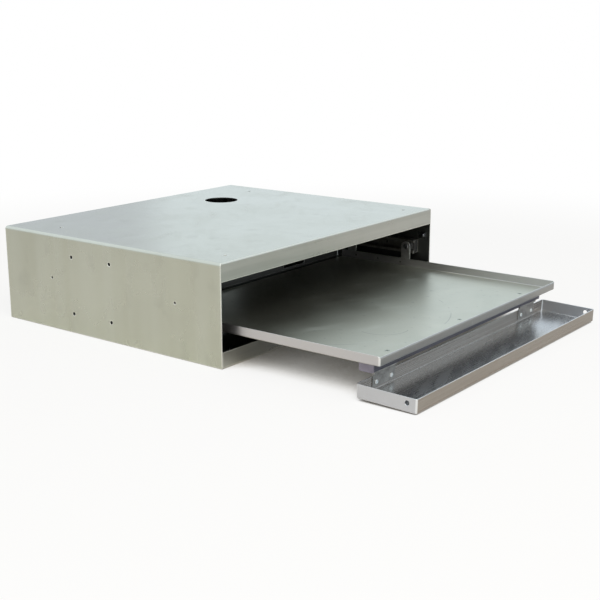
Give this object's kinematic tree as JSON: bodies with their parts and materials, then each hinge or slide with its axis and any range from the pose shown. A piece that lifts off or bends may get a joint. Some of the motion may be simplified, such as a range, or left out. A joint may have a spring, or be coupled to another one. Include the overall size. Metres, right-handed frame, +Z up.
{
  "type": "under-desk keyboard drawer",
  "caption": "Sheet-steel keyboard drawer for mounting under a desk top: a shallow tray rolls out of a flat housing, and a hinged flap under its front closes it.",
  "frame": {"origin": "middle of the width and of the whole length with the drawer out, on the plane of the underside", "axes": "+X to the right seen from the front, -Y towards the user, +Z up"},
  "size_m": [0.56, 0.7822, 0.1525],
  "materials": {
    "housing_sheet": "bare steel sheet, cold rolled, dull mirror with smudges",
    "tray_sheet": "bare steel sheet, brighter, with faint swirl marks",
    "flap_sheet": "bare steel sheet with a coarse rubbed finish",
    "zinc_plated_steel": "zinc plated",
    "screw_steel": "turned and plated",
    "spring_steel": "hardened and oiled",
    "tube_steel": "drawn tube, dark",
    "cap_plastic": "moulded polyethylene",
    "roller_nylon": "moulded nylon",
    "buffer_rubber": "moulded rubber"
  },
  "bodies": {
    "housing": {"housing_shell": "housing_sheet", "bottom_panel": "housing_sheet", "rear_cover": "housing_sheet", "cover_screws": "screw_steel", "rail_left": "zinc_plated_steel", "rail_right": "zinc_plated_steel", "rail_rivets": "zinc_plated_steel", "rail_buffers": "buffer_rubber", "catch_spring_left": "spring_steel", "catch_spring_right": "spring_steel"},
    "drawer": {"keyboard_tray": "tray_sheet", "hanger_left": "tray_sheet", "hanger_right": "tray_sheet", "hanger_rivets": "zinc_plated_steel", "roller_axles": "screw_steel", "axle_clips": "spring_steel", "cross_tube": "tube_steel", "tube_end_caps": "cap_plastic", "tray_screws": "screw_steel", "tube_nuts": "screw_steel", "hinge_tube_leaf_left": "zinc_plated_steel", "hinge_tube_leaf_right": "zinc_plated_steel", "hinge_pins": "zinc_plated_steel", "tube_leaf_rivets": "zinc_plated_steel"},
    "front_rollers": {"front_roller_left": "roller_nylon", "front_roller_right": "roller_nylon"},
    "rear_rollers": {"rear_roller_left": "roller_nylon", "rear_roller_right": "roller_nylon"},
    "flap": {"flap_pan": "flap_sheet", "hinge_flap_leaf_left": "zinc_plated_steel", "hinge_flap_leaf_right": "zinc_plated_steel", "flap_leaf_rivets": "zinc_plated_steel"}
  },
  "joints": [
    {"name": "drawer_slide", "type": "slide", "parent": "housing", "child": "drawer", "axis": [0, 1, 0], "range_m": [0, 0.2521]},
    {"name": "flap_hinge", "type": "hinge", "parent": "drawer", "child": "flap", "pos_m": [0, -0.30253, 0.0288], "axis": [-1, 0, 0], "range_deg": [0, 91.5]},
    {"name": "front_roller_spin", "type": "hinge", "parent": "drawer", "child": "front_rollers", "pos_m": [0, -0.03864, 0.0826], "axis": [-1, 0, 0], "range_deg": [0, 1445]},
    {"name": "rear_roller_spin", "type": "hinge", "parent": "drawer", "child": "rear_rollers", "pos_m": [0, 0.07727, 0.0826], "axis": [-1, 0, 0], "range_deg": [0, 1445]}
  ],
  "couplings": [
    {"joint": "flap_hinge", "follows": "drawer_slide", "rad_per_m": 6.3346},
    {"joint": "front_roller_spin", "follows": "drawer_slide", "rad_per_m": 100},
    {"joint": "rear_roller_spin", "follows": "drawer_slide", "rad_per_m": 100}
  ]
}
